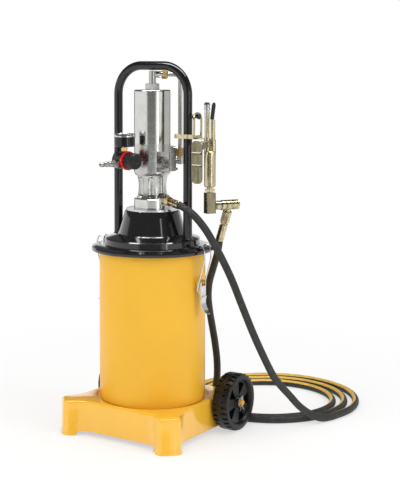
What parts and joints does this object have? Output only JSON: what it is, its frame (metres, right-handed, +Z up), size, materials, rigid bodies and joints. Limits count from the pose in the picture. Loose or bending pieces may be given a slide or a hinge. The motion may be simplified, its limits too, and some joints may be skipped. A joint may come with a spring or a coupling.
{
  "type": "barrel grease pump",
  "caption": "Wheeled air-operated barrel grease pump: clamped lid with handle, air pump with regulator and gauge, long hose and a grease gun hung on the handle.",
  "frame": {"origin": "on the floor under the middle of the machine without its hose: between the front of the feet and the rear of the wheels, and between the left end of the axle and the end of the arm under the gun", "axes": "X along the wheel axle, -Y to the side with the feet, Z up along the barrel"},
  "size_m": [0.5023, 0.6985, 0.8112],
  "materials": {
    "base_plastic": "moulded yellow plastic, satin gloss",
    "yellow_paint": "glossy yellow paint",
    "black_paint": "gloss black paint",
    "black_tube": "satin black paint",
    "wheel_plastic": "black moulded plastic",
    "bright_steel": "bright zinc-plated",
    "yellow_zinc": "yellow passivated zinc",
    "cast_aluminium": "as cast, lightly polished",
    "polished_aluminium": "polished",
    "brass": "turned",
    "copper": "soft copper",
    "black_plastic": "moulded",
    "red_plastic": "moulded",
    "rubber": "smooth",
    "dial_white": "printed",
    "glass": "clear"
  },
  "bodies": {
    "machine": {"base": "base_plastic", "axle": "yellow_zinc", "wheel_retainers": "bright_steel", "barrel": "yellow_paint", "latch_plate_right": "yellow_paint", "latch_pin_right": "bright_steel", "latch_plate_left": "yellow_paint", "latch_pin_left": "bright_steel", "latch_catches": "black_paint", "lid_gasket": "rubber", "lid": "black_paint", "handle": "black_tube", "gun_peg": "black_tube", "pump_flange": "polished_aluminium", "pump_body": "cast_aluminium", "air_cylinder": "polished_aluminium", "top_plug": "bright_steel", "top_elbow": "bright_steel", "tube_nuts": "brass", "air_tube": "bright_steel", "lower_elbow": "bright_steel", "valve_cover": "cast_aluminium", "cover_screws": "bright_steel", "valve_plug": "bright_steel", "inlet_nipple": "bright_steel", "regulator_body": "black_plastic", "regulator_ring": "red_plastic", "air_plug": "bright_steel", "gauge_stem": "brass", "gauge_case": "black_plastic", "gauge_lens": "glass", "gauge_dial": "dial_white", "outlet_hex": "yellow_zinc", "outlet_seal": "copper", "supply_ferrule": "yellow_zinc", "hose_supply": "rubber", "hose_loops": "rubber", "hose_tail": "rubber", "gun_grip": "yellow_zinc", "gun_valve": "yellow_zinc", "gun_nozzle": "bright_steel", "gun_bar": "yellow_zinc", "gun_sleeve": "rubber", "gun_hanger": "yellow_zinc", "gun_lever_pin": "bright_steel", "swivel_block": "yellow_zinc", "dip_tube": "bright_steel"},
    "wheel_right": {"wheel_right": "wheel_plastic"},
    "wheel_left": {"wheel_left": "wheel_plastic"},
    "lever_right": {"latch_lever_right": "bright_steel"},
    "bail_right": {"latch_bail_right": "bright_steel"},
    "lever_left": {"latch_lever_left": "bright_steel"},
    "bail_left": {"latch_bail_left": "bright_steel"},
    "knob": {"regulator_knob": "black_plastic"},
    "needle": {"gauge_needle": "black_paint"},
    "trigger": {"gun_lever": "yellow_zinc"},
    "swivel": {"swivel_arm": "yellow_zinc", "tail_ferrule": "yellow_zinc"},
    "piston": {"pump_piston": "bright_steel"},
    "follower": {"follower_plate": "bright_steel"}
  },
  "joints": [
    {"name": "wheel_right_spin", "type": "hinge", "parent": "machine", "child": "wheel_right", "pos_m": [0.14882, 0.09223, 0.0625], "axis": [1, 0, 0], "continuous": true},
    {"name": "wheel_left_spin", "type": "hinge", "parent": "machine", "child": "wheel_left", "pos_m": [-0.16118, 0.09223, 0.0625], "axis": [1, 0, 0], "continuous": true},
    {"name": "latch_right", "type": "hinge", "parent": "machine", "child": "lever_right", "pos_m": [0.11982, 0.00223, 0.3362], "axis": [0, -1, 0], "range_deg": [0, 100]},
    {"name": "bail_right", "type": "hinge", "parent": "lever_right", "child": "bail_right", "pos_m": [0.11882, 0.00223, 0.3222], "axis": [0, -1, 0], "range_deg": [-100, 5]},
    {"name": "latch_left", "type": "hinge", "parent": "machine", "child": "lever_left", "pos_m": [-0.13218, 0.00223, 0.3362], "axis": [0, 1, 0], "range_deg": [0, 100]},
    {"name": "bail_left", "type": "hinge", "parent": "lever_left", "child": "bail_left", "pos_m": [-0.13118, 0.00223, 0.3222], "axis": [0, 1, 0], "range_deg": [-100, 5]},
    {"name": "pressure_knob", "type": "hinge", "parent": "machine", "child": "knob", "pos_m": [-0.02662, -0.07408, 0.5982], "axis": [0.9659, -0.2588, 0], "range_deg": [-1080, 1080]},
    {"name": "gauge_needle_turn", "type": "hinge", "parent": "machine", "child": "needle", "pos_m": [-0.02662, -0.07408, 0.6502], "axis": [0, 0, -1], "range_deg": [0, 270], "stiffness_Nm_per_rad": 0.00001},
    {"name": "gun_trigger", "type": "hinge", "parent": "machine", "child": "trigger", "pos_m": [0.14182, -0.01677, 0.6372], "axis": [1, 0, 0], "range_deg": [0, 14], "stiffness_Nm_per_rad": 1.2, "springref_deg": -22.92},
    {"name": "gun_swivel", "type": "hinge", "parent": "machine", "child": "swivel", "pos_m": [0.14182, 0.00223, 0.5042], "axis": [0.5446, 0.8387, 0], "range_deg": [-20, 20]},
    {"name": "air_piston_stroke", "type": "slide", "parent": "machine", "child": "piston", "axis": [0, 0, 1], "range_m": [0, 0.07]},
    {"name": "follower_rise", "type": "slide", "parent": "machine", "child": "follower", "axis": [0, 0, 1], "range_m": [0, 0.25]}
  ],
  "couplings": [
    {"joint": "bail_right", "follows": "latch_right", "ratio": -0.8477},
    {"joint": "bail_left", "follows": "latch_left", "ratio": -0.8477}
  ]
}
